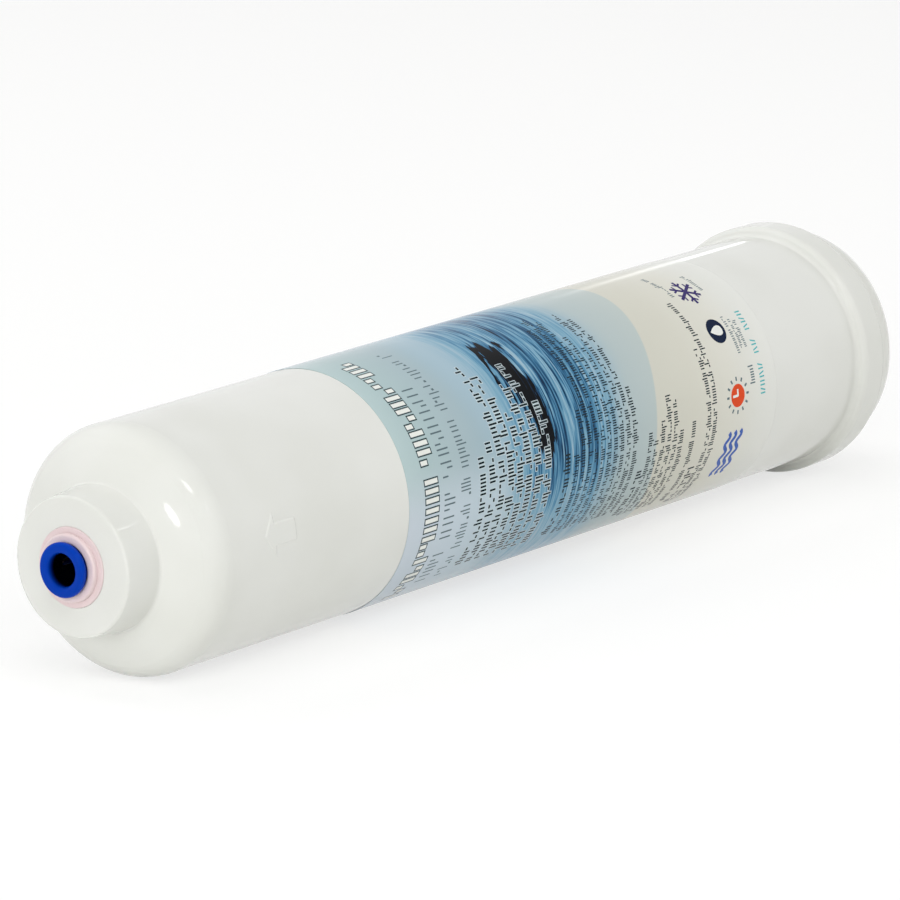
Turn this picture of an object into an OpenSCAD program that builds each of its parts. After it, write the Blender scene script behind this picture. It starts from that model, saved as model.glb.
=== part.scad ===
// Inline refrigerator water filter, built up as the real one is: a moulded housing with a
// domed outlet end, an inlet cap spin-welded into its open end, a push-in tube fitting in
// each port boss, and filter media packed between two support grids.
//
// The axis lies along X. Water enters at +X, through the cap, and leaves at -X.
// Revolved pieces are drawn as half sections: x is the radius, and y is the depth, measured
// inwards from the face of the nearer port boss. outlet_end() and inlet_end() place them.

/* [Housing] */
// Outside diameter of the body, for two inch clips
body_d = 50.8; // [47:0.2:60]
// Distance between the faces of the two port bosses
face_to_face = 264.5; // [190:0.5:330]
// Wall of the tube
wall_t = 2.4; // [2:0.1:2.9]
// Step in the wall that the outlet grid seats on
ledge_w = 0.8; // [0.4:0.1:1.2]
// Outside radius of the domed ends
crown_r = 42; // [36:0.5:60]
// Radius that rounds a dome into the body
shoulder_r = 6.2; // [5:0.1:9]
// Distance from a port face to the straight body
port_to_shoulder = 17.9; // [16.5:0.1:21]
// Smallest inside rounding of a dome
inner_fillet_r = 0.8; // [0.5:0.1:1.5]
// Height of the chamber between a port and its grid
plenum_h = 2.7; // [1.5:0.1:5]

/* [Flow arrow] */
// Distance from the outlet port face to the arrow's tip
arrow_at = 28.6; // [22:0.1:60]
// Length of the arrow
arrow_len = 9; // [6:0.1:14]
// Length of the arrow's head
arrow_head_len = 2.6; // [1.5:0.1:4]
// Width of the arrow's head
arrow_head_w = 7.2; // [5:0.1:10]
// Width of the arrow's shaft
arrow_shaft_w = 3.9; // [2:0.1:4.5]
// Height of the arrow above the body
arrow_h = 0.2; // [0.1:0.05:0.4]
// Place of the arrow round the body, in degrees up from the front
arrow_angle = 9; // [0:1:90]

/* [Inlet cap] */
// Outside diameter of the weld collar
collar_d = 55; // [53.5:0.1:62]
// Length of the weld collar
collar_len = 7.8; // [6:0.1:12]
// Rounding of the collar's edge towards the body
collar_front_r = 1.5; // [0.5:0.1:1.8]
// Rounding of the collar's edge towards the port
collar_rear_r = 0.9; // [0.3:0.1:1.4]
// Straight length between the collar and the cap's dome
cap_land = 3.4; // [1:0.1:8]
// Depth from the collar's rear face to the tube's end
collar_floor = 1.2; // [0.8:0.1:2.5]
// Step down in the tube where the collar grips it
tongue_step = 0.5; // [0.3:0.1:0.7]
// Gap in front of the collar that takes the weld flash
flash_gap = 0.1; // [0.05:0.05:0.5]
// Gap between the welded walls
weld_gap = 0.1; // [0.02:0.01:0.2]
// Wall of the cap's spigot inside the tube
spigot_wall = 1.6; // [1.2:0.1:2.2]
// Length of the cap's spigot inside the tube
spigot_len = 5; // [3:0.1:9]

/* [Port boss] */
// Diameter of a port boss at its face
boss_d = 28.1; // [24:0.1:32]
// Draft of the boss's side, in degrees
boss_draft = 5; // [1:0.5:8]
// Rounding of the boss's rim
boss_rim_r = 0.6; // [0.2:0.1:1.5]
// Fillet between a boss and its dome
boss_root_r = 0.7; // [0.3:0.1:1.6]
// Wall round the fitting, inside the dome
column_wall = 2.1; // [1.6:0.1:2.6]
// Thickness behind a step of the column
column_step = 1.8; // [1.2:0.1:3]
// Number of ribs between the column and the wall
ribs = 8; // [4:1:12]
// Thickness of a rib
rib_t = 1.2; // [0.8:0.1:2]
// Gap between the ribs and the support grid
rib_gap = 0.1; // [0.05:0.05:0.5]

/* [Tube seat] */
// Diameter of the tube that pushes in, a quarter of an inch
tube_d = 6.35; // [6:0.05:7.2]
// Radial clearance of the seat round the tube
tube_gap = 0.075; // [0.05:0.005:0.15]
// Length of the seat that holds the tube's end
tube_seat_len = 4.6; // [3:0.1:8]
// Chamfer that leads the tube into its seat
lead_in = 0.4; // [0.2:0.05:0.8]
// Wall behind the tube's end
stop_wall = 1.5; // [1:0.1:3]
// Diameter of the water passage
passage_d = 4.4; // [3:0.1:5.5]

/* [O-ring and backup ring] */
// Thickness of the O-ring's section
o_ring_t = 2; // [1.6:0.05:2.4]
// How far the O-ring grips the tube, radially
o_ring_grip = 0.095; // [0.05:0.005:0.12]
// Clearance between the O-ring and its gland
gland_gap = 0.07; // [0.03:0.01:0.15]
// Spare length of the gland beside the O-ring
gland_spare = 0.3; // [0.1:0.05:0.8]
// Thickness of the backup ring
backup_t = 1.3; // [0.8:0.1:2]
// Radial clearance of the backup ring round the tube
backup_gap = 0.175; // [0.1:0.025:0.3]

/* [Retainer] */
// How far the retainer's rim stands in front of the boss
rim_proud = 0.3; // [0.1:0.05:0.6]
// Width of the retainer's rim
rim_w = 1.2; // [0.6:0.1:2]
// How far the retainer's nose stands in front of the boss
nose_proud = 1.4; // [0.8:0.05:1.8]
// Width of the nose outside the collet's lip
nose_margin = 1.35; // [0.8:0.05:2]
// Rounding of the nose
nose_edge_r = 0.5; // [0.2:0.05:0.8]
// Length of the throat that guides the collet
throat_len = 3.2; // [2.4:0.1:4.4]
// Length of the cone that closes the collet's fingers
cone_len = 1.8; // [1.2:0.1:3]
// Length of the chamber behind the cone
chamber_len = 4.6; // [4:0.1:7]
// Radial clearance of the chamber round the fingers
chamber_gap = 0.45; // [0.3:0.05:0.8]
// Rounding of the rim
rim_edge_r = 0.25; // [0.1:0.05:0.29]
// Clearance of a pressed-in piece in its hole
seat_gap = 0.05; // [0.02:0.01:0.1]

/* [Collet] */
// How far the collet can be pressed in from where it rests, to free the tube
press_travel = 0.5; // [0.3:0.1:1]
// How far it can be drawn out from there, until its barbs meet the cone
draw_travel = 1.1; // [0.6:0.1:1.4]
// Space left in front of the stop at each end of the travel
travel_spare = 0.1; // [0.05:0.05:0.3]
// Radial clearance of the collet round the tube
collet_tube_gap = 0.125; // [0.08:0.005:0.2]
// Wall of the collet's sleeve
collet_wall = 1.3; // [1:0.05:1.6]
// Radial clearance between collet and retainer
collet_gap = 0.25; // [0.1:0.05:0.4]
// Width of the collet's lip outside its sleeve
lip_w = 0.9; // [0.5:0.05:1.2]
// Thickness of the collet's lip
lip_t = 1.4; // [1:0.05:2.2]
// Rounding of the lip's outer front edge
lip_round = 0.7; // [0.3:0.05:1]
// Rounding of the lip's inner front edge, which leads the tube in
lip_lead_r = 0.9; // [0.4:0.05:1.2]
// Height of the barbs on the fingers
barb_h = 1.15; // [0.8:0.05:1.5]
// Gap between the barbs and the retainer's cone at rest
cone_gap = 0.1; // [0.05:0.05:0.2]
// Number of fingers
fingers = 4; // [3:1:6]
// Width of the slots between the fingers
slot_w = 1; // [0.6:0.1:1.4]
// Solid length of the sleeve behind its lip
slot_from = 3.2; // [2:0.1:4]

/* [Gripping teeth] */
// Thickness of the steel
tooth_t = 0.3; // [0.2:0.05:0.4]
// Width of each tooth, in degrees round the axis
tooth_arc = 44; // [20:1:48]
// How far a tooth bites inside the tube's surface
tooth_bite = 0.125; // [0.05:0.005:0.15]
// How far the tip leans inwards
tooth_lean = 0.6; // [0.3:0.05:1]
// Depth of the steel root in its finger
tooth_root = 1.4; // [0.8:0.1:1.7]
// Distance from the tooth to the finger's end
tooth_inset = 1.9; // [1.4:0.1:2.3]

/* [Media] */
// Gap between the media and the tube's wall
media_gap = 0.1; // [0.05:0.05:0.5]
// Thickness of a support grid
grid_t = 2; // [1.5:0.1:4]
// Width of the grid's rim
grid_rim = 2; // [1.5:0.1:4]
// Width of the grid's rings and spokes
grid_bar = 1.4; // [1:0.1:1.8]
// Number of rings between hub and rim
grid_rings = 3; // [1:1:4]
// Number of spokes
grid_spokes = 8; // [4:1:12]
// Diameter of the grid's solid hub
grid_hub_d = 11; // [8:0.5:14]
// Thickness of the mesh discs
mesh_t = 0.3; // [0.2:0.05:0.6]
// Thickness of the felt pads
felt_t = 5; // [3:0.5:10]
// Thickness of the foam pad
foam_t = 7; // [4:0.5:15]

/* [Label] */
// Distance from the outlet port face to the label
label_from = 74; // [45:0.5:90]
// Width of the label along the body
label_len = 130; // [60:0.5:135]
// Thickness of the label's film
film_t = 0.08; // [0.05:0.01:0.1]
// Overlap of the label's two ends
label_overlap = 6; // [2:0.5:12]

/* [Hidden] */
$fn = 144;

// Cuts run this far past the faces they open
over = 1;

white = "#E4E6DE";
pink = "#EBD4D7";
blue = "#0A46C4";
steel = "#B9BCC0";
black = "#1B1B1D";

body_r = body_d / 2;
bore_r = body_r - wall_t;

// The tube's end, stepped down: it and the collar share what lies outside the bore
tongue_r = min(body_r - tongue_step, (bore_r + collar_d / 2) / 2);

// Radii of the fitting, worked outwards from the tube
tube_r = tube_d / 2;
tube_seat_r = tube_r + tube_gap;
o_ring_mid_r = tube_r - o_ring_grip + o_ring_t / 2;
gland_r = o_ring_mid_r + o_ring_t / 2 + gland_gap;
collet_bore_r = tube_r + collet_tube_gap;
sleeve_r = collet_bore_r + collet_wall;
throat_r = sleeve_r + collet_gap;
barb_r = sleeve_r + barb_h;
chamber_r = barb_r + chamber_gap;
lip_r = sleeve_r + lip_w;
nose_r = lip_r + nose_margin;
retainer_r = nose_r + rim_w;
retainer_hole_r = retainer_r + seat_gap;
column_r = retainer_hole_r + column_wall;
inner_column_r = max(gland_r, tube_seat_r + lead_in) + column_wall;

// Depths of the fitting, worked inwards from the boss's face
cone_at = throat_len - nose_proud;
chamber_at = cone_at + cone_len;
retainer_end = chamber_at + chamber_len;
backup_end = retainer_end + backup_t;
gland_end = backup_end + o_ring_t + gland_spare;
seat_end = gland_end + tube_seat_len;
column_end = seat_end + stop_wall;

// The collet at rest: pressed in, its lip comes up to the nose, and drawn out, its barbs
// come up to the cone
cone_slope = barb_h / cone_len;
barb_at = cone_at + (cone_gap - collet_gap) / cone_slope + draw_travel;
barb_full_at = barb_at + barb_h / cone_slope;
lip_back = -nose_proud - press_travel - travel_spare;
collet_end = retainer_end - press_travel - 3 * travel_spare;
tooth_at = collet_end - tooth_inset;

// The dome: a crown sphere, rounded into the body by the shoulder
crown_at = port_to_shoulder + sqrt(pow(crown_r - shoulder_r, 2) - pow(body_r - shoulder_r, 2));
boss_r = boss_d / 2;
boss_end = crown_at - sqrt(pow(crown_r, 2) - pow(boss_r, 2)) + (wall_t + ledge_w) / 2;

// Stations along the outlet end
ledge_at = max(port_to_shoulder, column_end) + plenum_h;
outlet_mesh_at = ledge_at + grid_t;
outlet_felt_at = outlet_mesh_at + mesh_t;
carbon_at = outlet_felt_at + felt_t;

// Stations along the inlet end
collar_rear = port_to_shoulder + cap_land;
collar_front = collar_rear + collar_len;
tube_end = collar_rear + collar_floor;
spigot_r = bore_r - weld_gap;
spigot_in_r = spigot_r - spigot_wall;
spigot_end = max(tube_end + spigot_len, column_end + plenum_h);
inlet_mesh_at = spigot_end + grid_t;
foam_at = inlet_mesh_at + mesh_t;
inlet_felt_at = foam_at + foam_t;
carbon_end = inlet_felt_at + felt_t;

media_r = bore_r - media_gap;

// Places a piece by its depth from the outlet port's face
module outlet_end() {
    translate([-face_to_face / 2, 0, 0])
        rotate([0, 90, 0])
            children();
}

// The same, from the inlet port's face
module inlet_end() {
    mirror([1, 0, 0])
        outlet_end()
            children();
}

// A rectangle from radius r0 to r1 and depth z0 to z1
module bar_2d(r0, r1, z0, z1) {
    translate([r0, z0])
        square([r1 - r0, z1 - z0]);
}

// The same, with its front corner or corners rounded
module round_bar_2d(r0, r1, z0, z1, edge, inner = true) {
    e = min(edge, (r1 - r0) / 2 - 0.01);
    bar_2d(inner ? r0 + e : r0, r1 - e, z0, z1);
    bar_2d(r0, r1, z0 + e, z1);
    translate([r1 - e, z0 + e])
        circle(e);
    if (inner)
        translate([r0 + e, z0 + e])
            circle(e);
}

// Half section of a domed end: a slice of the crown circle, the shoulder circle that it
// touches, and the straight body from there to depth z1
module dome_2d(r, crown, fillet, z1) {
    reach = sqrt(pow(crown - fillet, 2) - pow(r - fillet, 2));
    half_angle = atan2(r - fillet, reach);
    beyond = 1.3 * crown;
    intersection() {
        union() {
            intersection() {
                translate([0, crown_at])
                    circle(crown);
                polygon([
                    [0, crown_at],
                    [0, crown_at - beyond],
                    [beyond * tan(half_angle), crown_at - beyond]
                ]);
            }
            translate([r - fillet, crown_at - reach])
                circle(fillet);
            bar_2d(0, r, crown_at - reach, z1);
        }
        bar_2d(0, r + over, crown_at - beyond, z1);
    }
}

// Inside of a domed end, at the given wall
module dome_inside_2d(wall, z1) {
    dome_2d(body_r - wall, crown_r - wall, max(shoulder_r - wall, inner_fillet_r), z1);
}

// Half section of a port boss, drafted, with a rounded rim
module boss_2d() {
    rim_x = boss_r + boss_rim_r * tan(boss_draft) - boss_rim_r / cos(boss_draft);
    polygon([
        [0, 0],
        [rim_x, 0],
        [rim_x + boss_rim_r * cos(boss_draft), boss_rim_r * (1 - sin(boss_draft))],
        [boss_r + boss_end * tan(boss_draft), boss_end],
        [0, boss_end]
    ]);
    translate([rim_x, boss_rim_r])
        circle(boss_rim_r);
}

// Fillet in the corner between the boss's side and the crown. Its centre is boss_root_r
// outside both of them, and its arc runs from the one to the other.
module boss_root_2d() {
    lean = tan(boss_draft);
    k = boss_r + boss_root_r / cos(boss_draft);
    b = crown_at - k * lean;
    c = k * k + crown_at * crown_at - pow(crown_r + boss_root_r, 2);
    z = (b - sqrt(b * b - (1 + lean * lean) * c)) / (1 + lean * lean);
    centre = [k + z * lean, z];
    side_angle = 180 - boss_draft;
    crown_angle = atan2(crown_at - centre[1], -centre[0]);
    steps = 8;
    polygon(concat(
        [[boss_r + boss_end * lean - boss_root_r, boss_end]],
        [
            for (i = [0 : steps])
                let (angle = side_angle + (crown_angle - side_angle) * i / steps)
                    centre + boss_root_r * [cos(angle), sin(angle)]
        ]
    ));
}

// Outside of an end, down to depth z1
module end_outside_2d(z1) {
    dome_2d(body_r, crown_r, shoulder_r, z1);
    boss_2d();
    boss_root_2d();
}

// The column behind the boss that the fitting is bored into
module column_2d() {
    bar_2d(0, column_r, boss_end - over, backup_end + column_step);
    bar_2d(0, inner_column_r, boss_end - over, column_end);
}

// The stepped hole of a port: retainer, gland, tube seat with its lead-in, and passage
module port_hole_2d() {
    bar_2d(0, retainer_hole_r, -over, backup_end);
    bar_2d(0, gland_r, 0, gland_end);
    bar_2d(0, tube_seat_r, 0, seat_end);
    polygon([
        [0, gland_end],
        [tube_seat_r + lead_in, gland_end],
        [tube_seat_r, gland_end + lead_in],
        [0, gland_end + lead_in]
    ]);
    bar_2d(0, passage_d / 2, 0, column_end + over);
}

// Radial ribs that stiffen a domed end behind its grid, from inside the column's wall to
// inside the tube's
module end_ribs(wall, top) {
    intersection() {
        rotate_extrude()
            difference() {
                dome_inside_2d(wall, top);
                bar_2d(0, column_r - column_wall / 2, -over, backup_end + column_step / 2);
                bar_2d(0, inner_column_r - column_wall / 2, -over, top + over);
            }
        for (i = [0 : ribs - 1])
            rotate([0, 0, (i + 0.5) * 360 / ribs])
                translate([0, -rib_t / 2, 0])
                    cube([body_r, rib_t, top + over]);
    }
}

// Flow arrow, moulded in relief on the body and pointing at the outlet
module flow_arrow() {
    translate([arrow_at - face_to_face / 2, 0, 0])
        rotate([90 - arrow_angle, 0, 0])
            intersection() {
                linear_extrude(body_r + arrow_h + over)
                    polygon([
                        [0, 0],
                        [arrow_head_len, -arrow_head_w / 2],
                        [arrow_head_len, -arrow_shaft_w / 2],
                        [arrow_len, -arrow_shaft_w / 2],
                        [arrow_len, arrow_shaft_w / 2],
                        [arrow_head_len, arrow_shaft_w / 2],
                        [arrow_head_len, arrow_head_w / 2]
                    ]);
                rotate([0, 90, 0])
                    difference() {
                        cylinder(h = arrow_len, r = body_r + arrow_h);
                        translate([0, 0, -over])
                            cylinder(h = arrow_len + 2 * over, r = body_r - wall_t / 2);
                    }
            }
}

module housing() {
    tongue_at = face_to_face - collar_front - flash_gap;
    tongue_end = face_to_face - tube_end;
    color(white) {
        outlet_end()
            rotate_extrude()
                difference() {
                    union() {
                        difference() {
                            union() {
                                end_outside_2d(tongue_at);
                                bar_2d(0, tongue_r, tongue_at - over, tongue_end);
                            }
                            dome_inside_2d(wall_t + ledge_w, ledge_at + over);
                            bar_2d(0, bore_r, ledge_at, tongue_end + over);
                        }
                        column_2d();
                    }
                    port_hole_2d();
                }
        outlet_end()
            end_ribs(wall_t + ledge_w / 2, ledge_at - rib_gap);
        flow_arrow();
    }
}

// Half section of the weld collar, which laps over the tube's stepped end
module weld_collar_2d() {
    collar_r = collar_d / 2;
    groove_r = tongue_r + weld_gap;
    thickest = 0.7 * (collar_r - groove_r);
    front_r = min(collar_front_r, thickest);
    rear_r = min(collar_rear_r, thickest);
    middle = collar_rear + collar_len / 2;
    intersection() {
        union() {
            bar_2d(0, collar_r - rear_r, collar_rear, middle);
            bar_2d(0, collar_r - front_r, middle, collar_front);
            bar_2d(0, collar_r, collar_rear + rear_r, collar_front - front_r);
            translate([collar_r - rear_r, collar_rear + rear_r])
                circle(rear_r);
            translate([collar_r - front_r, collar_front - front_r])
                circle(front_r);
        }
        bar_2d(groove_r, collar_r + over, collar_rear - over, collar_front + over);
    }
}

module end_cap() {
    color(white)
        inlet_end() {
            rotate_extrude()
                difference() {
                    union() {
                        difference() {
                            union() {
                                end_outside_2d(tube_end);
                                bar_2d(0, spigot_r, tube_end - over, spigot_end);
                                weld_collar_2d();
                            }
                            dome_inside_2d(body_r - spigot_in_r, spigot_end + over);
                        }
                        column_2d();
                    }
                    port_hole_2d();
                }
            end_ribs(body_r - (spigot_r + spigot_in_r) / 2, spigot_end - rib_gap);
        }
}

// Retainer: pressed into the boss. Its rim and nose show round the collet, its throat
// guides the collet, and its cone closes the fingers when the collet is drawn out.
module retainer() {
    color(pink)
        rotate_extrude() {
            round_bar_2d(throat_r, retainer_r, -rim_proud, cone_at, rim_edge_r, false);
            round_bar_2d(throat_r, nose_r, -nose_proud, cone_at, nose_edge_r);
            polygon([
                [throat_r, 0],
                [retainer_r, 0],
                [retainer_r, retainer_end],
                [chamber_r, retainer_end],
                [chamber_r, chamber_at],
                [throat_r + barb_h, chamber_at],
                [throat_r, cone_at]
            ]);
        }
}

// One sector of the full ring, for each finger
module at_fingers(arc, z0, z1) {
    reach = 2 * chamber_r;
    intersection() {
        children();
        for (i = [0 : fingers - 1])
            rotate([0, 0, (i + 0.5) * 360 / fingers])
                translate([0, 0, z0])
                    linear_extrude(z1 - z0)
                        polygon([
                            [0, 0],
                            [reach, -reach * tan(arc / 2)],
                            [reach, reach * tan(arc / 2)]
                        ]);
    }
}

// Section of the bent steel tooth, grown by gap for the pocket that holds it
module tooth_2d(gap) {
    tip_r = tube_r - tooth_bite;
    bend_r = collet_bore_r + tooth_t;
    polygon([
        [bend_r, tooth_at - gap],
        [bend_r + tooth_root + gap, tooth_at - gap],
        [bend_r + tooth_root + gap, tooth_at + tooth_t + gap],
        [bend_r + tooth_t / 2 + gap, tooth_at + tooth_t + gap],
        [tip_r + tooth_t / 2, tooth_at + tooth_lean + tooth_t + gap],
        [tip_r - gap, tooth_at + tooth_lean + tooth_t / 2],
        [tip_r - gap, tooth_at + tooth_lean]
    ]);
}

// Half section of the collet's lip, rounded on its outside and into its bore
module lip_2d() {
    front = lip_back - lip_t;
    width = lip_r - collet_bore_r;
    lead = min(lip_lead_r, 0.5 * width, 0.8 * lip_t);
    edge = min(lip_round, 0.45 * width, 0.55 * lip_t);
    back = lip_t / 4;
    bar_2d(collet_bore_r + lead, lip_r - edge, front, lip_back);
    bar_2d(collet_bore_r, lip_r - back, front + lead, lip_back);
    bar_2d(collet_bore_r + lead, lip_r, front + edge, lip_back - back);
    translate([collet_bore_r + lead, front + lead])
        circle(lead);
    translate([lip_r - edge, front + edge])
        circle(edge);
    translate([lip_r - back, lip_back - back])
        circle(back);
}

// Collet: a sleeve with a rounded lip outside and slotted, barbed fingers inside
module collet() {
    tooth_gap = 0.05;
    color(blue)
        difference() {
            rotate_extrude() {
                lip_2d();
                polygon([
                    [collet_bore_r, lip_back - lip_t / 6],
                    [sleeve_r, lip_back - lip_t / 6],
                    [sleeve_r, barb_at],
                    [barb_r, barb_full_at],
                    [barb_r, collet_end],
                    [collet_bore_r, collet_end]
                ]);
            }
            for (i = [0 : fingers - 1])
                rotate([0, 0, i * 360 / fingers])
                    translate([0, -slot_w / 2, lip_back + slot_from])
                        cube([barb_r + over, slot_w, collet_end - lip_back - slot_from + over]);
            at_fingers(tooth_arc + 2, tooth_at - over, collet_end)
                rotate_extrude()
                    tooth_2d(tooth_gap);
        }
}

// Teeth: one bent stainless steel tooth held in each finger
module collet_teeth() {
    color(steel)
        at_fingers(tooth_arc, tooth_at - over, collet_end)
            rotate_extrude()
                tooth_2d(0);
}

module backup_ring() {
    color(white)
        rotate_extrude()
            bar_2d(tube_r + backup_gap, retainer_r, retainer_end, backup_end);
}

module o_ring() {
    color(black)
        translate([0, 0, backup_end + (o_ring_t + gland_spare) / 2])
            rotate_extrude()
                translate([o_ring_mid_r, 0])
                    circle(o_ring_t / 2);
}

// Support grid: a rim, rings and spokes round a solid hub that spreads the flow
module support_grid() {
    hub_r = grid_hub_d / 2;
    rim_in_r = media_r - grid_rim;
    pitch = (rim_in_r - hub_r + grid_bar) / (grid_rings + 1);
    color(white)
        linear_extrude(grid_t) {
            difference() {
                circle(media_r);
                circle(rim_in_r);
            }
            for (i = [1 : grid_rings])
                difference() {
                    circle(hub_r + i * pitch);
                    circle(hub_r + i * pitch - grid_bar);
                }
            circle(hub_r);
            for (i = [0 : grid_spokes - 1])
                rotate(i * 360 / grid_spokes)
                    translate([hub_r - over, -grid_bar / 2])
                        square([rim_in_r - hub_r + 2 * over, grid_bar]);
        }
}

// A plain disc of media
module disc(thickness) {
    cylinder(h = thickness, r = media_r);
}

// Label: one film wrapped round the body, its end lapped over its start at the back
module label() {
    lap = label_overlap / body_r * 180 / PI;
    reach = 2 * body_r;
    color("#C9DCEC")
        outlet_end()
            translate([0, 0, label_from])
                linear_extrude(label_len) {
                    difference() {
                        circle(body_r + film_t);
                        circle(body_r);
                    }
                    intersection() {
                        difference() {
                            circle(body_r + 2 * film_t);
                            circle(body_r + film_t / 2);
                        }
                        polygon([
                            [0, 0],
                            [reach * tan(lap / 2), reach],
                            [-reach * tan(lap / 2), reach]
                        ]);
                    }
                }
}

module outlet_retainer() outlet_end() retainer();
module outlet_collet() outlet_end() collet();
module outlet_collet_teeth() outlet_end() collet_teeth();
module outlet_backup_ring() outlet_end() backup_ring();
module outlet_o_ring() outlet_end() o_ring();

module inlet_retainer() inlet_end() retainer();
module inlet_collet() inlet_end() collet();
module inlet_collet_teeth() inlet_end() collet_teeth();
module inlet_backup_ring() inlet_end() backup_ring();
module inlet_o_ring() inlet_end() o_ring();

module outlet_grid() outlet_end() translate([0, 0, ledge_at]) support_grid();
module outlet_mesh() color(steel) outlet_end() translate([0, 0, outlet_mesh_at]) disc(mesh_t);
module outlet_felt() color("#F2F0EA") outlet_end() translate([0, 0, outlet_felt_at]) disc(felt_t);
module inlet_grid() inlet_end() translate([0, 0, spigot_end]) support_grid();
module inlet_mesh() color(steel) inlet_end() translate([0, 0, inlet_mesh_at]) disc(mesh_t);
module foam_pad() color("#D9D4C0") inlet_end() translate([0, 0, foam_at]) disc(foam_t);
module inlet_felt() color("#F2F0EA") inlet_end() translate([0, 0, inlet_felt_at]) disc(felt_t);

// Carbon granules, packed as one bed between the two felt pads
module carbon_bed() {
    color("#26262A")
        outlet_end()
            translate([0, 0, carbon_at])
                disc(face_to_face - carbon_at - carbon_end);
}

housing();
end_cap();
label();
outlet_retainer();
outlet_collet();
outlet_collet_teeth();
outlet_backup_ring();
outlet_o_ring();
inlet_retainer();
inlet_collet();
inlet_collet_teeth();
inlet_backup_ring();
inlet_o_ring();
outlet_grid();
outlet_mesh();
outlet_felt();
carbon_bed();
inlet_felt();
foam_pad();
inlet_mesh();
inlet_grid();
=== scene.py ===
"""Looks of the inline refrigerator water filter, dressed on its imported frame.

Metres, in the frame of the CAD part: the filter's axis is X, the outlet is at -X and the inlet
cap at +X. Two numbers place a point of the body: its station, in millimetres from the outlet
port's face, and its angle round the axis, in degrees from +Y towards +Z. The camera looks at
angles near 173. The label's print stands with its top towards the outlet, and its rows run from
larger angles to smaller ones.
"""
import math

import bpy
import numpy as np
from mathutils import Matrix, Vector


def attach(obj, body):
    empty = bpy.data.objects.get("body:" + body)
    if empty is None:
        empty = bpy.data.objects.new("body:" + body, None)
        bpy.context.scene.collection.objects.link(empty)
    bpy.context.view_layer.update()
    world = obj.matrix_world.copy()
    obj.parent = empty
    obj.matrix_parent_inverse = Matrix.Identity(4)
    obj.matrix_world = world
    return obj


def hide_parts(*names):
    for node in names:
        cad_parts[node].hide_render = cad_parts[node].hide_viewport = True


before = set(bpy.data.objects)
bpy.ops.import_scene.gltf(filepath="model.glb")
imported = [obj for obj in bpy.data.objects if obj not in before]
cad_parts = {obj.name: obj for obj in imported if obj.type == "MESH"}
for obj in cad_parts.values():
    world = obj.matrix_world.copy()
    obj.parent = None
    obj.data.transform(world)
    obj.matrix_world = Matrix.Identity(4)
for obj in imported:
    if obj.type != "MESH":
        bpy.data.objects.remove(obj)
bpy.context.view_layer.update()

MM = 0.001
FACE_X = -132.25       # outlet port face, mm
BODY_R = 25.4
FILM_T = 0.08          # thickness of the label's film
FILM_LAP = 6.0         # overlap of the film's two ends
INK_LIFT = 0.008       # height of one layer of print over the last
LABEL_FROM = 74.0      # station of the label's two edges
LABEL_TO = 204.0
MM_PER_DEGREE = BODY_R * math.pi / 180
PLASTIC_IOR = 1.49
FILM_SHINE = 0.06      # low, so that the white studio doesn't veil the dark print


def srgb(code):
    """Turns an sRGB hex colour to linear: below 0.04045 divided by 12.92, else ((c + 0.055) / 1.055) to the 2.4."""
    parts = [int(code[i:i + 2], 16) / 255 for i in (1, 3, 5)]
    return [c / 12.92 if c <= 0.04045 else ((c + 0.055) / 1.055) ** 2.4 for c in parts] + [1.0]


def add(tree, kind, settings=None, **sockets):
    """Adds one node: settings are its properties, sockets its inputs by name, or by number
    after an i, each with a value or another node's output."""
    made = tree.nodes.new(kind)
    for name, value in (settings or {}).items():
        setattr(made, name, value)
    for name, value in sockets.items():
        key = int(name[1:]) if name[0] == "i" and name[1:].isdigit() else name.replace("_", " ")
        target = made.inputs[key]
        if isinstance(value, bpy.types.NodeSocket):
            tree.links.new(value, target)
        else:
            target.default_value = value
    return made


def ramp(tree, factor, stops, mode="EASE"):
    """A colour ramp through (place, hex) stops."""
    made = add(tree, "ShaderNodeValToRGB", Fac=factor)
    band = made.color_ramp
    band.interpolation = mode
    while len(band.elements) < len(stops):
        band.elements.new(1.0)
    for element, (place, code) in zip(band.elements, stops):
        element.position = place
        element.color = srgb(code)
    return made.outputs["Color"]


def new_material(name):
    """A material with an empty tree, its shader and its output."""
    made = bpy.data.materials.new(name)
    made.use_nodes = True
    tree = made.node_tree
    tree.nodes.clear()
    shader = tree.nodes.new("ShaderNodeBsdfPrincipled")
    out = tree.nodes.new("ShaderNodeOutputMaterial")
    tree.links.new(shader.outputs["BSDF"], out.inputs["Surface"])
    return made, tree, shader


def place_in_mm(tree):
    """Object coordinates in millimetres."""
    coords = add(tree, "ShaderNodeTexCoord")
    return add(tree, "ShaderNodeVectorMath", {"operation": "SCALE"},
               Vector=coords.outputs["Object"], Scale=1 / MM).outputs["Vector"]


def maths(tree, operation, *values):
    """One step of arithmetic between sockets or numbers."""
    sockets = {"i%d" % k: value for k, value in enumerate(values)}
    return add(tree, "ShaderNodeMath", {"operation": operation}, **sockets).outputs["Value"]


def between(tree, value, low, high, start=0.0, end=1.0):
    """Runs smoothly from start to end while a value goes from low to high."""
    return add(tree, "ShaderNodeMapRange", {"interpolation_type": "SMOOTHSTEP"}, Value=value, From_Min=low,
               From_Max=high, To_Min=start, To_Max=end).outputs["Result"]


def mix(tree, mask, under, over):
    """One colour over another where the mask is 1."""
    return add(tree, "ShaderNodeMix", {"data_type": "RGBA"}, Factor=mask, i6=under, i7=over).outputs["Result"]


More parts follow.
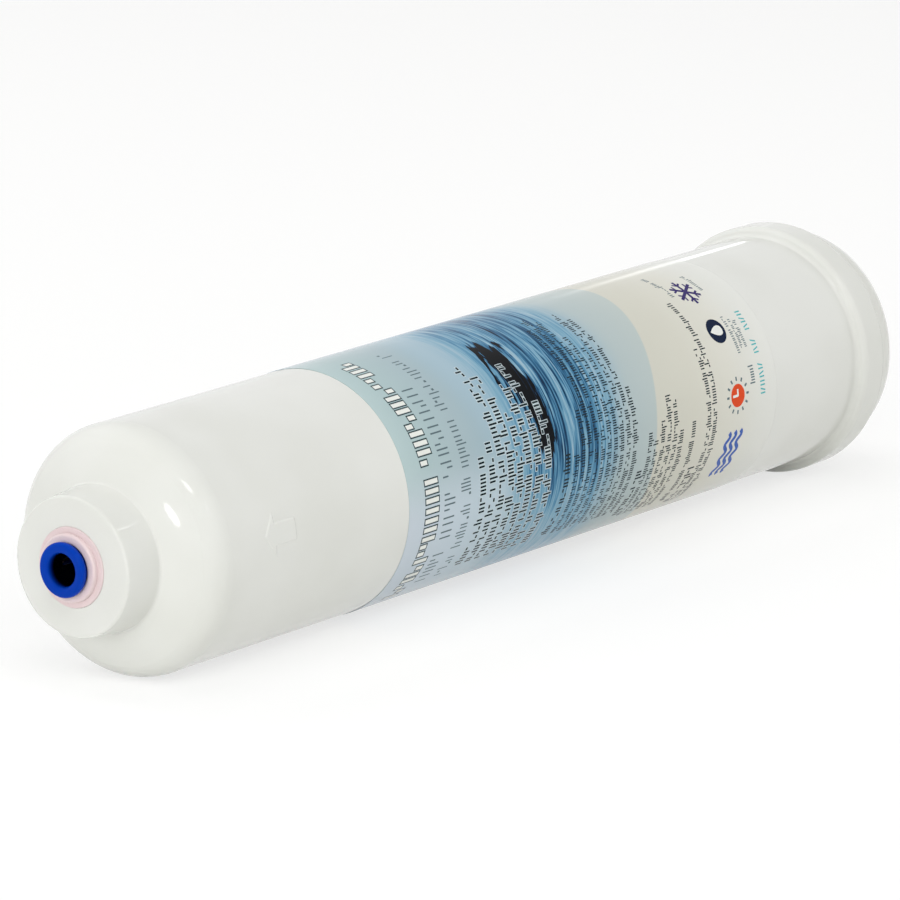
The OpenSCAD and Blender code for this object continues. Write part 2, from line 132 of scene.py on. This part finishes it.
def moulded(name, colours, rough, grain_mm, depth_mm, shine=0.5):
    """A moulded plastic: its colour drifts between two hex tones over about 30 mm, as the melt
    flows, and its skin copies the fine finish of the mould, with grain_mm between peaks."""
    made, tree, shader = new_material(name)
    mm = place_in_mm(tree)
    drift = add(tree, "ShaderNodeTexNoise", Vector=mm, Scale=1 / 30, Detail=2.0, Roughness=0.5)
    colour = ramp(tree, drift.outputs["Fac"], [(0.35, colours[0]), (0.65, colours[1])])
    grain = add(tree, "ShaderNodeTexNoise", Vector=mm, Scale=1 / grain_mm, Detail=3.0, Roughness=0.55)
    spread = add(tree, "ShaderNodeMapRange", Value=grain.outputs["Fac"], To_Min=rough * 0.7, To_Max=rough * 1.3)
    bump = add(tree, "ShaderNodeBump", Height=grain.outputs["Fac"], Strength=1.0, Distance=depth_mm * MM)
    tree.links.new(colour, shader.inputs["Base Color"])
    tree.links.new(spread.outputs["Result"], shader.inputs["Roughness"])
    tree.links.new(bump.outputs["Normal"], shader.inputs["Normal"])
    shader.inputs["IOR"].default_value = PLASTIC_IOR
    shader.inputs["Specular IOR Level"].default_value = shine
    return made, tree, shader, mm, colour


def fibrous(name, colours, pitch_mm, depth_mm, stretch=(1, 1, 1), rough=0.9):
    """Felt, foam or granules: noise cells pitch_mm across, stretched along the fibres, set both
    the tone and the height."""
    made, tree, shader = new_material(name)
    scaled = add(tree, "ShaderNodeVectorMath", {"operation": "MULTIPLY"}, Vector=place_in_mm(tree), i1=stretch)
    cells = add(tree, "ShaderNodeTexVoronoi", Vector=scaled.outputs["Vector"], Scale=1 / pitch_mm)
    tree.links.new(ramp(tree, cells.outputs["Distance"], [(0.1, colours[0]), (0.8, colours[1])]),
                   shader.inputs["Base Color"])
    bump = add(tree, "ShaderNodeBump", Height=cells.outputs["Distance"], Strength=1.0, Distance=depth_mm * MM)
    tree.links.new(bump.outputs["Normal"], shader.inputs["Normal"])
    shader.inputs["Roughness"].default_value = rough
    return made


def steel(name, rough, pitch_mm, depth_mm):
    """Stainless steel: a bright metal whose fine rolled or woven lines, pitch_mm apart, spread the highlight."""
    made, tree, shader = new_material(name)
    mm = place_in_mm(tree)
    lines = add(tree, "ShaderNodeTexWave", {"bands_direction": "Y"}, Vector=mm, Scale=0.314 / pitch_mm)
    cross = add(tree, "ShaderNodeTexWave", {"bands_direction": "Z"}, Vector=mm, Scale=0.314 / pitch_mm)
    both = maths(tree, "MAXIMUM", lines.outputs["Fac"], cross.outputs["Fac"])
    bump = add(tree, "ShaderNodeBump", Height=both, Strength=1.0, Distance=depth_mm * MM)
    tree.links.new(bump.outputs["Normal"], shader.inputs["Normal"])
    shader.inputs["Base Color"].default_value = srgb("#C3C5C8")
    shader.inputs["Metallic"].default_value = 1.0
    shader.inputs["Roughness"].default_value = rough
    return made


def collet_acetal():
    """Acetal, moulded in strong blue and satin at its edges. Inside the hole the colour is painted towards black as
    painted shade of the hole's
    depth: full from 2 mm behind the lip's front, inside a radius of 3.6 mm."""
    made, tree, shader, mm, colour = moulded("acetal_moulded_blue", ("#0036A2", "#003AAA"), 0.16, 0.5, 0.003, 0.06)
    parts = add(tree, "ShaderNodeSeparateXYZ", Vector=mm)
    across = add(tree, "ShaderNodeCombineXYZ", Y=parts.outputs["Y"], Z=parts.outputs["Z"])
    radius = add(tree, "ShaderNodeVectorMath", {"operation": "LENGTH"}, Vector=across.outputs["Vector"]).outputs["Value"]
    depth = maths(tree, "SUBTRACT", 135.65, maths(tree, "ABSOLUTE", parts.outputs["X"]))
    # painted shade: the bore's colour goes to near black deeper behind the lip and inside a radius of 3.75 to 3.45 mm
    dark = maths(tree, "MULTIPLY", between(tree, depth, 0.2, 2.0), between(tree, radius, 3.75, 3.45))
    tree.links.new(mix(tree, dark, colour, srgb("#010108")), shader.inputs["Base Color"])
    return made


# Polypropylene, injection moulded in a polished mould: milky white and glossy, so glints are crisp
housing_plastic = moulded("polypropylene_moulded_glossy", ("#DDDED8", "#E2E3DE"), 0.07, 1.2, 0.0015)[0]
# Acetal, moulded: pale pink and satin
retainer_plastic = moulded("acetal_moulded_pink", ("#DCC8C9", "#E2D0D1"), 0.3, 0.5, 0.006)[0]
collet_plastic = collet_acetal()
# Acetal, moulded: natural white
spacer_plastic = moulded("acetal_moulded_natural", ("#EDECE4", "#F1F0EA"), 0.35, 0.5, 0.006)[0]
# Nitrile rubber, compression moulded: black, with a soft low sheen
seal_rubber = moulded("nitrile_rubber_moulded", ("#17171A", "#1E1E21"), 0.5, 0.4, 0.01)[0]
# Stainless spring steel, rolled and stamped: bright and fine-lined
tooth_steel = steel("stainless_steel_rolled", 0.3, 0.1, 0.002)
# Stainless steel wire, woven at half a millimetre so that the weave shows
mesh_steel = steel("stainless_steel_woven", 0.35, 0.5, 0.1)
# Polypropylene felt, needled: white, with short fibres that lie across the flow
felt_fibre = fibrous("polypropylene_felt_needled", ("#F4F2EC", "#E4E1D8"), 0.5, 0.15, (1, 0.3, 0.3))
# Polyurethane foam, cut: cream, with open cells
foam_cells = fibrous("polyurethane_foam_cut", ("#B9B29A", "#DDD8C4"), 0.9, 0.4)
# Activated carbon, crushed: matt black granules, drawn 0.8 mm across so that they show
carbon_grain = fibrous("activated_carbon_crushed", ("#2E2E32", "#161618"), 0.8, 0.4)

DRESSED = [
    (housing_plastic, ["housing", "end_cap"]),
    (retainer_plastic, ["outlet_retainer", "inlet_retainer"]),
    (collet_plastic, ["outlet_collet", "inlet_collet"]),
    (tooth_steel, ["outlet_collet_teeth", "inlet_collet_teeth"]),
    (spacer_plastic, ["outlet_backup_ring", "inlet_backup_ring", "outlet_grid", "inlet_grid"]),
    (seal_rubber, ["outlet_o_ring", "inlet_o_ring"]),
    (mesh_steel, ["outlet_mesh", "inlet_mesh"]),
    (felt_fibre, ["outlet_felt", "inlet_felt"]),
    (foam_cells, ["foam_pad"]),
    (carbon_grain, ["carbon_bed"]),
]
for material, names in DRESSED:
    for name in names:
        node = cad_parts[name]
        node.data.materials.clear()
        node.data.materials.append(material)


def put_mesh(name, points, faces, material, slot=None):
    """Makes a smooth piece of points in mm and quads, with its place in its mesh. One with a
    slot belongs to the filter's body, and its quads are turned to face away from the axis."""
    corners = points[faces]
    facing = np.cross(corners[:, 2] - corners[:, 0], corners[:, 3] - corners[:, 1])
    if slot and (facing * corners.mean(axis=1))[:, 1:].sum() < 0:
        faces = faces[:, ::-1]
    mesh = bpy.data.meshes.new(name)
    mesh.from_pydata((points * MM).tolist(), [], faces.tolist())
    mesh.validate()
    mesh.shade_smooth()
    piece = bpy.data.objects.new(name, mesh)
    bpy.context.scene.collection.objects.link(piece)
    mesh.materials.append(material)
    if slot:
        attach(piece, "filter")
    return piece


def grid_faces(rows, columns, wrap_columns=False):
    """Quads between neighbours of a grid numbered row by row; wrapped columns join the last to the first."""
    i = np.arange(rows - 1)[:, None]
    j = np.arange(columns if wrap_columns else columns - 1)[None, :]
    i2, j2 = i + 1, (j + 1) % columns
    corners = (i * columns + j, i * columns + j2, i2 * columns + j2, i2 * columns + j)
    return np.stack([c + 0 * (i + j) for c in corners], axis=-1).reshape(-1, 4)


def on_body(station, degrees, radius):
    """A point of the body: x is the station from the outlet face, y and z are the radius times
    the cosine and the sine of the angle."""
    station, degrees, radius = np.broadcast_arrays(station, degrees, radius)
    a = np.radians(degrees)
    return np.stack([FACE_X + station, radius * np.cos(a), radius * np.sin(a)], axis=-1)


def arrow_relief():
    """The soft edges of the moulded arrow, laid over it: the height falls by s(d / 0.45) with the
    distance d outside the outline, a triangle and a bar, where s(t) = t t (3 - 2 t). Further out
    the sheet lies just below the body's skin."""
    tip, base, tail, head_half, shaft_half = 28.6, 31.2, 37.6, 3.6, 1.95
    station, arc = np.meshgrid(np.linspace(tip - 0.9, tail + 0.9, 109), np.linspace(-4.5, 4.5, 91), indexing="ij")
    side = np.abs(arc)
    bar = np.hypot(np.maximum(side - shaft_half, 0), np.maximum(np.maximum(base - station, station - tail), 0))
    slope = np.hypot(base - tip, head_half)
    edge = ((base - tip) * side - head_half * (station - tip)) / slope
    head = np.maximum(np.maximum(station - base, edge), 0)
    t = np.clip(np.minimum(bar, head) / 0.45, 0, 1)
    radius = BODY_R - 0.02 + 0.226 * (1 - t * t * (3 - 2 * t))
    points = on_body(station, 171 - arc / MM_PER_DEGREE, radius)
    put_mesh("flow_arrow_relief", points.reshape(-1, 3), grid_faces(*station.shape), housing_plastic, "white_housing")


arrow_relief()


def weld_flash():
    """The soft bead of flash in the corner between the tube and the weld collar: an arc of
    1.2 mm from the tube at station 234.27 to the collar's own rounding. Each end dips just
    below the skin it meets."""
    a = np.radians(np.linspace(-90, -12.8, 13))
    station = np.concatenate([[233.9], 234.27 + 1.2 * np.cos(a), [235.56]])
    radius = np.concatenate([[BODY_R - 0.02], 26.6 + 1.2 * np.sin(a), [26.62]])
    points = on_body(station[:, None], np.arange(0, 360, 1.5)[None, :], radius[:, None])
    put_mesh("weld_flash", points.reshape(-1, 3), grid_faces(len(station), 240, wrap_columns=True),
             housing_plastic, "white_housing")


weld_flash()


def printed_film():
    """Polypropylene film, printed and laminated: glossy, with fields of colour that meet along
    wave lines, and a rippled band of blue. A wave line lies at station c + a sin(n angle + shift),
    so it closes round the body. The band's tone is a depth from 0, pale, to 1, near black: a
    bell over the station plus ripples that run round the body."""
    made, tree, shader = new_material("polypropylene_film_printed")
    mm = place_in_mm(tree)
    parts = add(tree, "ShaderNodeSeparateXYZ", Vector=mm)
    station = maths(tree, "SUBTRACT", parts.outputs["X"], FACE_X)
    angle = maths(tree, "ARCTAN2", parts.outputs["Z"], parts.outputs["Y"])
    drawn_out = add(tree, "ShaderNodeVectorMath", {"operation": "MULTIPLY"}, Vector=mm, i1=(1.0, 0.05, 0.05))

    def ripples(apart_mm, detail, twist):
        """Lines apart_mm from each other that run round the body for some 20 mm."""
        made = add(tree, "ShaderNodeTexNoise", Vector=drawn_out.outputs["Vector"], Scale=1 / apart_mm, Detail=detail,
                   Roughness=0.6, Distortion=twist)
        return made.outputs["Fac"]

    def swing(reach, turns, shift):
        """A sine of the angle, reach millimetres each way."""
        return maths(tree, "MULTIPLY", maths(tree, "SINE", maths(tree, "MULTIPLY_ADD", angle, turns, shift)), reach)

    def past(centre, wave, soft):
        """0 before a wave line and 1 past it, over soft millimetres."""
        gap = maths(tree, "SUBTRACT", maths(tree, "SUBTRACT", station, centre), wave)
        return between(tree, gap, -soft / 2, soft / 2)

    def along(stops):
        """Tones by station, each stop a station in mm and a hex colour."""
        share = add(tree, "ShaderNodeMapRange", Value=station, From_Min=LABEL_FROM, From_Max=LABEL_TO).outputs["Result"]
        length = LABEL_TO - LABEL_FROM
        return ramp(tree, share, [((at - LABEL_FROM) / length, code) for at, code in stops], "LINEAR")

    fine = ripples(0.55, 3.0, 0.4)
    broad = ripples(2.0, 2.0, 0.6)
    shorter = add(tree, "ShaderNodeVectorMath", {"operation": "MULTIPLY"}, Vector=mm, i1=(1.0, 0.24, 0.24))
    lobes = add(tree, "ShaderNodeTexNoise", Vector=shorter.outputs["Vector"], Scale=1 / 3.4, Detail=3.0, Roughness=0.65,
                Distortion=0.5).outputs["Fac"]
    # The band is strongest at angles near 135 and 315, and its one dark core lies between 110 and 175
    strength = between(tree, swing(1.0, 2, 2 * math.radians(-135) + math.pi / 2), -1.4, 0.1, 0.35, 1.0)
    inside = between(tree, swing(1.0, 1, math.radians(-142) + math.pi / 2), 0.72, 0.9, 7.0, 0.0)
    bell = maths(tree, "MULTIPLY", between(tree, station, 103, 121), between(tree, station, 156, 134))
    offset = maths(tree, "ABSOLUTE", maths(tree, "SUBTRACT", maths(tree, "SUBTRACT", station, 119.5), swing(2.2, 2, 1.1)))
    ragged = maths(tree, "ADD", maths(tree, "MULTIPLY_ADD", broad, 7.0, -3.5), maths(tree, "MULTIPLY_ADD", lobes, 19.0, -9.5))
    core = between(tree, maths(tree, "ADD", maths(tree, "ADD", offset, ragged), inside), 3.5, 2.3)
    sparkle = maths(tree, "MULTIPLY", between(tree, fine, 0.6, 0.7), core)
    lines = maths(tree, "ADD", maths(tree, "MULTIPLY_ADD", fine, 1.5, -0.75), maths(tree, "MULTIPLY_ADD", broad, 1.1, -0.55))
    depth = maths(tree, "MULTIPLY_ADD", bell, 0.43, 0.06)
    depth = maths(tree, "MULTIPLY_ADD", maths(tree, "MULTIPLY", lines, bell), 1.0, depth)
    depth = maths(tree, "MULTIPLY_ADD", core, 0.62, depth)
    depth = maths(tree, "MULTIPLY_ADD", sparkle, -0.7, depth)
    depth = maths(tree, "MULTIPLY", depth, strength)
    water = ramp(tree, depth, [(0.0, "#ADC2CC"), (0.16, "#9AB8C8"), (0.3, "#7CA8BF"), (0.46, "#5189AB"), (0.6, "#2F6489"),
                               (0.74, "#153A5C"), (0.88, "#06111C"), (1.0, "#02050A")], "LINEAR")

    # The pale field is sea green above and lavender grey low on the front
    low = between(tree, swing(1.0, 2, 2 * math.radians(-215) + math.pi / 2), -0.4, 0.7)
    sea_green = along([(74, "#B7CBCC"), (82, "#AEC3C5"), (94, "#A8BBC1"), (110, "#9AB5C2")])
    lavender = along([(74, "#C9D3DC"), (90, "#C6D3DC"), (108, "#BCCED7")])
    pale = mix(tree, low, sea_green, lavender)
    mist = along([(136, "#94AEB6"), (150, "#B2C1C3"), (168, "#BFC9C6")])
    cream = along([(156, "#CFCFC3"), (174, "#D5D4C8"), (188, "#DDDCD2"), (198, "#E3E4DE"), (204, "#E6E7E2")])
    colour = mix(tree, past(104, swing(4.5, 2, 0.7), 9.0), pale, water)
    colour = mix(tree, past(146.0, swing(3.5, 2, 3.4), 11.0), colour, mist)
    colour = mix(tree, past(163.5, swing(4.0, 2, 4.6), 0.5), colour, cream)
    tree.links.new(colour, shader.inputs["Base Color"])
    shader.inputs["Roughness"].default_value = 0.14
    shader.inputs["IOR"].default_value = PLASTIC_IOR
    shader.inputs["Specular IOR Level"].default_value = FILM_SHINE
    # The film follows the tube's slight unevenness, over about 14 mm
    wavy = add(tree, "ShaderNodeTexNoise", Vector=mm, Scale=1 / 14, Detail=1.0)
    bump = add(tree, "ShaderNodeBump", Height=wavy.outputs["Fac"], Strength=1.0, Distance=0.02 * MM)
    tree.links.new(bump.outputs["Normal"], shader.inputs["Normal"])
    return made


def label_film():
    """The film: a closed section carried round the body. Its inside touches the wall, its
    outside is a film's thickness further out, and over its lap, at the back, it climbs by one
    thickness on to its own start, as t t (3 - 2 t)."""
    lap = math.degrees(FILM_LAP / BODY_R)
    turn = np.linspace(0, 360 + lap, 400)
    climb = np.clip((turn - 359) / 1.5, 0, 1)
    angle = turn - lap / 2
    low = BODY_R + 0.004 + FILM_T * climb * climb * (3 - 2 * climb)
    high = low + FILM_T
    # The rows of points beside each edge keep the smooth shading of the film's flat side
    edge = np.array([0.0, 0.03])
    stations = np.concatenate([LABEL_FROM + edge, np.linspace(LABEL_FROM + 10, LABEL_TO - 10, 12), LABEL_TO - edge[::-1]])
    outer = on_body(stations[None, :], angle[:, None], high[:, None])
    inner = on_body(stations[None, ::-1], angle[:, None], low[:, None])
    ring = np.concatenate([outer, inner], axis=1)
    count = ring.shape[1]
    quads = grid_faces(len(turn), count, wrap_columns=True)
    k = np.arange(count // 2 - 1)
    cap = np.stack([k, k + 1, count - 2 - k, count - 1 - k], axis=-1)
    faces = np.concatenate([quads, cap, cap[:, ::-1] + (len(turn) - 1) * count])
    film = put_mesh("label_film", ring.reshape(-1, 3), faces, printed_film(), "label_film")
    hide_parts("label")


label_film()


def ink(name, code):
    """Printing ink under the laminate: its own colour, a touch uneven over 6 mm, and the film's gloss."""
    made, tree, shader = new_material(name)
    drift = add(tree, "ShaderNodeTexNoise", Vector=place_in_mm(tree), Scale=1 / 6, Detail=2.0)
    tone = srgb(code)
    light = [min(1.0, c * 1.12) for c in tone[:3]] + [1.0]
    tree.links.new(mix(tree, drift.outputs["Fac"], tone, light), shader.inputs["Base Color"])
    shader.inputs["Roughness"].default_value = 0.14
    shader.inputs["IOR"].default_value = PLASTIC_IOR
    shader.inputs["Specular IOR Level"].default_value = FILM_SHINE
    return made


class Print:
    """Collects flat patches, each a grid wrapped just above the film, and puts them in one piece."""

    def __init__(self, name, material, layer=1):
        self.name, self.material, self.radius = name, material, BODY_R + 0.004 + FILM_T + layer * INK_LIFT
        self.points, self.faces, self.count = [], [], 0

    def grid(self, along, across, station, degrees, turn=0.0):
        """Adds a patch: along (mm round the body, in reading direction) and across (mm towards the
        inlet) are grids, turned about the patch's own middle, then wrapped at a station and angle."""
        c, s = math.cos(math.radians(turn)), math.sin(math.radians(turn))
        a = along * c - across * s
        b = along * s + across * c
        at = on_body(station + b, degrees - a / MM_PER_DEGREE, self.radius)
        self.points.append(at.reshape(-1, 3))
        self.faces.append(grid_faces(*along.shape) + self.count)
        self.count += along.size

    def bar(self, length, height, station, degrees, turn=0.0, slant=0.0):
        """A straight bar, in steps short enough to follow the body. It may lean: the place across
        the body adds slant times itself along it."""
        rows = 2 if turn == 0 and slant == 0 else 2 + int(height / 0.7)
        a, b = np.meshgrid(np.linspace(-length, length, 2 + int(length / 0.7)) / 2, np.linspace(-height, height, rows) / 2,
                           indexing="ij")
        self.grid(a + slant * b, b, station, degrees, turn)

    def disc(self, diameter, station, degrees):
        """A disc: on a square grid u, v from -1 to 1, u sqrt(1 - v v / 2) and v sqrt(1 - u u / 2)."""
        u, v = np.meshgrid(np.linspace(-1, 1, 13), np.linspace(-1, 1, 13), indexing="ij")
        self.grid(u * np.sqrt(1 - v * v / 2) * diameter / 2, v * np.sqrt(1 - u * u / 2) * diameter / 2, station, degrees)

    def ribbon(self, a, b, thick, station, degrees):
        """A line through points a, b, thick wide across its own direction."""
        da, db = np.gradient(a), np.gradient(b)
        size = np.hypot(da, db)
        side = np.array([-thick, thick])[None, :] / 2
        self.grid(a[:, None] - side * (db / size)[:, None], b[:, None] + side * (da / size)[:, None], station, degrees)

    def put(self):
        put_mesh(self.name, np.concatenate(self.points), np.concatenate(self.faces), self.material, "label_film")


chance = np.random.default_rng(7)


# Where a stroke starts and ends, as shares of the row's height: most are as tall as the row
TALL = [(-0.5, 0.5)] * 5 + [(-0.5, 0.0), (0.0, 0.5)]
MIXED = [(-0.5, 0.5)] * 7 + [(-0.9, 0.5), (-0.5, 0.9), (-0.5, -0.2), (0.2, 0.5)]


def row(sheet, station, height, first, last, pen, gaps, forms=MIXED, rim=0.0, edge=None):
    """Plain strokes in groups, as a stand-in for a printed line, from the angle first to last.
    Each is a pen wide, or more where it is short, and the next follows after one of the gaps,
    in pens. A rim of another ink may show round them."""
    at = first
    while at > last:
        for _ in range(int(chance.integers(5, 17))):
            low, high = forms[int(chance.integers(0, len(forms)))]
            width = pen * (1.0 if high - low > 0.4 else 1.9)
            at -= width / 2 / MM_PER_DEGREE
            if at < last:
                return
            middle = station + (high + low) / 2 * height
            sheet.bar(width, (high - low) * height, middle, at)
            if edge:
                edge.bar(width + 2 * rim, (high - low) * height + 2 * rim, middle, at)
            at -= (width / 2 + pen * float(chance.choice(gaps))) / MM_PER_DEGREE
        at -= 1.8 * pen * max(gaps) / MM_PER_DEGREE


dark_ink = ink("printing_ink_dark_grey", "#1D2A2E")
soft_ink = ink("printing_ink_mid_grey", "#5F7076")
white_ink = ink("printing_ink_white", "#E3E5E0")

# Heading: tall white strokes with a dark rim
heading_rims = Print("heading_rims", ink("printing_ink_slate", "#3A4B4E"))
heading = Print("heading_strokes", white_ink, 2)
row(heading, 81.6, 4.2, 236, 92, 0.95, (0.8, 1.0, 1.2), TALL, 0.3, heading_rims)
heading_rims.put()
heading.put()

# Lines of the table: dark strokes with a light rim
table_rims = Print("table_rims", ink("printing_ink_pale_blue", "#C3D1D6"))
table = Print("table_strokes", dark_ink, 2)
for station, first, last in ((98.6, 222, 166), (101.8, 222, 160), (105.0, 222, 121), (108.1, 222, 128),
                             (111.2, 222, 151), (114.3, 222, 137), (117.5, 222, 126), (121.0, 222, 147)):
    row(table, station, 1.9, first, last, 0.42, (0.8, 0.9, 1.2), rim=0.16, edge=table_rims)
table_rims.put()
table.put()

# Lines of the care text
strong = Print("strong_strokes", dark_ink)
for station, first, last in ((127.8, 221, 177), (155.0, 226, 197), (176.4, 232, 206)):
    row(strong, station, 1.7, first, last, 0.42, (0.7, 0.9))
strong.put()
care = Print("care_strokes", dark_ink)
for station, first, last in ((131.0, 222, 178), (133.3, 222, 158), (135.6, 222, 112), (137.9, 222, 104),
                             (140.2, 222, 108), (142.5, 222, 122), (144.8, 222, 131), (147.1, 222, 106),
                             (149.4, 222, 111), (151.7, 222, 154), (157.3, 228, 180), (159.6, 228, 184),
                             (161.9, 228, 176), (164.2, 228, 165), (166.5, 228, 168), (168.8, 228, 183),
                             (173.2, 228, 180), (178.8, 232, 148), (181.0, 232, 120)):
    row(care, station, 1.3, first, last, 0.28, (0.7, 0.9, 1.2))
care.put()
faint = Print("faint_strokes", soft_ink)
row(faint, 87.4, 3.6, 226, 119, 0.34, (2.2, 3.0, 4.0), TALL)
row(faint, 93.3, 2.3, 226, 97, 0.28, (1.6, 2.4, 3.2))
for station, height, first, last, pen in ((184.5, 1.1, 118, 98, 0.26), (194.6, 0.9, 119, 104, 0.22),
                                          (193.0, 0.9, 156, 136, 0.22), (194.6, 0.8, 154, 138, 0.2),
                                          (196.0, 0.8, 154, 140, 0.2), (195.6, 1.3, 172, 163, 0.3)):
    row(faint, station, height, first, last, pen, (0.8, 1.0, 1.4))
faint.put()

# Four plain signs in a column: a snow star, a drop on a disc, a clock face and waves
SIGNS_AT = 189.5
star = Print("snow_star", ink("printing_ink_violet", "#352A66"))
for turn in range(0, 360, 60):
    c, s = math.cos(math.radians(turn)), math.sin(math.radians(turn))
    star.bar(3.9, 0.75, SIGNS_AT + 1.95 * s, 117 - 1.95 * c / MM_PER_DEGREE, turn=turn)
    for bend in (-55, 55):
        d, e = math.cos(math.radians(turn + bend)), math.sin(math.radians(turn + bend))
        star.bar(1.5, 0.5, SIGNS_AT + 2.2 * s + 0.7 * e, 117 - (2.2 * c + 0.7 * d) / MM_PER_DEGREE, turn=turn + bend)
star.put()
navy = Print("drop_disc", ink("printing_ink_navy", "#0B1C38"))
navy.disc(5.8, SIGNS_AT - 0.8, 142.5)
navy.put()
drop = Print("drop", white_ink, 2)
v, u = np.meshgrid(np.linspace(-1, 1, 21), np.linspace(-1, 1, 9), indexing="ij")
drop.grid(u * 1.1 * np.sqrt(1 - v) * (1 + v), v * 2.1, SIGNS_AT - 0.8, 142.5)
drop.put()
clock = Print("clock_face", ink("printing_ink_orange", "#D94A22"))
clock.disc(5.0, SIGNS_AT, 175.5)
clock.put()
hands = Print("clock_hands", white_ink, 2)
hands.bar(0.55, 1.9, SIGNS_AT - 0.85, 175.5)
hands.bar(1.5, 0.55, SIGNS_AT, 175.5 - 0.65 / MM_PER_DEGREE)
hands.put()
ticks = Print("clock_ticks", soft_ink)
for turn in range(0, 360, 30):
    c, s = math.cos(math.radians(turn)), math.sin(math.radians(turn))
    ticks.bar(0.9, 0.5, SIGNS_AT + 3.6 * s, 175.5 - 3.6 * c / MM_PER_DEGREE, turn=turn)
ticks.put()
waves = Print("waves", ink("printing_ink_blue", "#3E5FAE"))
run = np.linspace(-5.6, 5.6, 57)
for k in (-1, 0, 1):
    waves.ribbon(run, 0.6 * np.sin(run * 2 * math.pi / 3.73) + 2.1 * k, 1.0, SIGNS_AT, 206)
waves.put()
teal = Print("teal_row", ink("printing_ink_teal", "#4FB0B4"))
for k in range(11):
    if k not in (4, 7):
        teal.bar(0.32, 1.7, 198.9, 178 - k * 4.0)
        teal.bar(0.32, 1.7, 198.9, 176.2 - k * 4.0, slant=0.3 * (k % 3 - 1))
teal.put()


# The camera stands where the photo was taken, 1.34 m from the filter, with a long lens
CAMERA_AT = Vector((-1.0739, -0.7959, 0.32215))
LOOK = Vector((0.7779, 0.5824, -0.2360)).normalized()
RIGHT = LOOK.cross(Vector((0, 0, 1))).normalized()
UP = RIGHT.cross(LOOK)
camera_data = bpy.data.cameras.new("photo_camera")
camera_data.sensor_width = 36
camera_data.lens = 264.57
camera = bpy.data.objects.new("photo_camera", camera_data)
camera.matrix_world = Matrix.Translation(CAMERA_AT) @ Matrix((RIGHT, UP, -LOOK)).transposed().to_4x4()
bpy.context.scene.collection.objects.link(camera)
bpy.context.scene.camera = camera

WORLD_LEVEL = 0.15
WHITE = 1.0
FLOOR_SHADE = 0.35     # share of the floor's own light and shade that the camera sees
FLOOR_GLOW = 0.7


def seen_directly(tree):
    """1 for a ray from the camera, or one that a gloss or a glass sends on, and 0 for soft light."""
    ray = add(tree, "ShaderNodeLightPath")
    mirrored = maths(tree, "MAXIMUM", ray.outputs["Is Glossy Ray"], ray.outputs["Is Transmission Ray"])
    return maths(tree, "MAXIMUM", ray.outputs["Is Camera Ray"], mirrored)


def studio_floor():
    """A plane that leans by half a degree, because the filter lies on its collar and on the start
    of its body: z falls by 0.00966 for each millimetre along X. It looks white and keeps a soft shadow."""
    paint, tree, shader = new_material("floor_matt_paint")
    seen = seen_directly(tree)
    own = srgb("#F7F7F5")
    shaded = [c * FLOOR_SHADE for c in own[:3]] + [1.0]
    tree.links.new(mix(tree, seen, own, shaded), shader.inputs["Base Color"])
    tree.links.new(maths(tree, "MULTIPLY", seen, FLOOR_GLOW), shader.inputs["Emission Strength"])
    shader.inputs["Emission Color"].default_value = srgb("#FFFFFF")
    shader.inputs["Roughness"].default_value = 0.9
    shader.inputs["Specular IOR Level"].default_value = 0.0
    side = np.linspace(-4000, 4000, 41)
    x, y = np.meshgrid(side, side, indexing="ij")
    z = -25.4 - (x + 114.35) * 0.00966
    put_mesh("studio_floor", np.stack([x, y, z], axis=-1).reshape(-1, 3), grid_faces(41, 41), paint)


studio_floor()
world = bpy.data.worlds.new("studio")
bpy.context.scene.world = world
world.use_nodes = True
tree = world.node_tree
tree.nodes.clear()
level = add(tree, "ShaderNodeMix", {"data_type": "FLOAT"}, Factor=seen_directly(tree), i2=WORLD_LEVEL, i3=WHITE)
sky = add(tree, "ShaderNodeBackground", Color=srgb("#FFFFFF"), Strength=level.outputs["Result"])
add(tree, "ShaderNodeOutputWorld", Surface=sky.outputs["Background"])


def area_light(name, azimuth, elevation, width, height, watts, turn=0.0, mirrored=True):
    """A soft box 1.6 m away: azimuth is from +X towards +Y and elevation above the horizon, as seen
    from the object's middle. It looks at the object, turned about its own axis."""
    a, e = math.radians(azimuth), math.radians(elevation)
    back = Vector((math.cos(e) * math.cos(a), math.cos(e) * math.sin(a), math.sin(e)))
    data = bpy.data.lights.new(name, "AREA")
    data.shape = "ELLIPSE" if mirrored else "RECTANGLE"
    data.size, data.size_y = width, height
    data.energy = watts
    lamp = bpy.data.objects.new(name, data)
    spin = back.to_track_quat("Z", "Y").to_matrix().to_4x4() @ Matrix.Rotation(math.radians(turn), 4, "Z")
    lamp.matrix_world = Matrix.Translation(back * 1.6) @ spin
    lamp.visible_glossy = mirrored
    bpy.context.scene.collection.objects.link(lamp)


# Broad boxes set the tones, with watts fitted to the photo's white plastic
for name, azimuth, elevation, size, watts in (
        ("outlet_box", -175, 12, 0.9, 8.8), ("camera_box", -143, 30, 0.9, 1.6), ("left_box", -170, 60, 0.5, 0.5),
        ("front_box", -105, 40, 0.9, 7.1), ("right_box", -35, 10, 0.9, 5.3), ("back_box", 90, 45, 0.9, 6.7),
        ("back_low_box", 120, 10, 0.9, 2.6), ("top_box", 0, 88, 1.2, 7.8)):
    area_light(name, azimuth, elevation, size, size, watts, mirrored=False)
# Small bright lamps draw the glints, which are too small to change the tones
for name, azimuth, elevation, width, height, turn, watts in (
        ("dome_glint", -172.3, 13.5, 0.095, 0.37, 44, 0.95), ("shoulder_glint", -143, 43.5, 0.42, 0.25, 0, 1.4),
        ("edge_glint", -103, 33.3, 0.14, 0.14, 0, 0.2), ("boss_glint", -40.3, 41.8, 0.012, 0.08, 0, 0.03),
        ("top_line", 33.8, 11.6, 0.085, 0.115, 0, 0.045)):
    area_light(name, azimuth, elevation, width, height, watts, turn)

bpy.context.scene.view_settings.view_transform = "Standard"
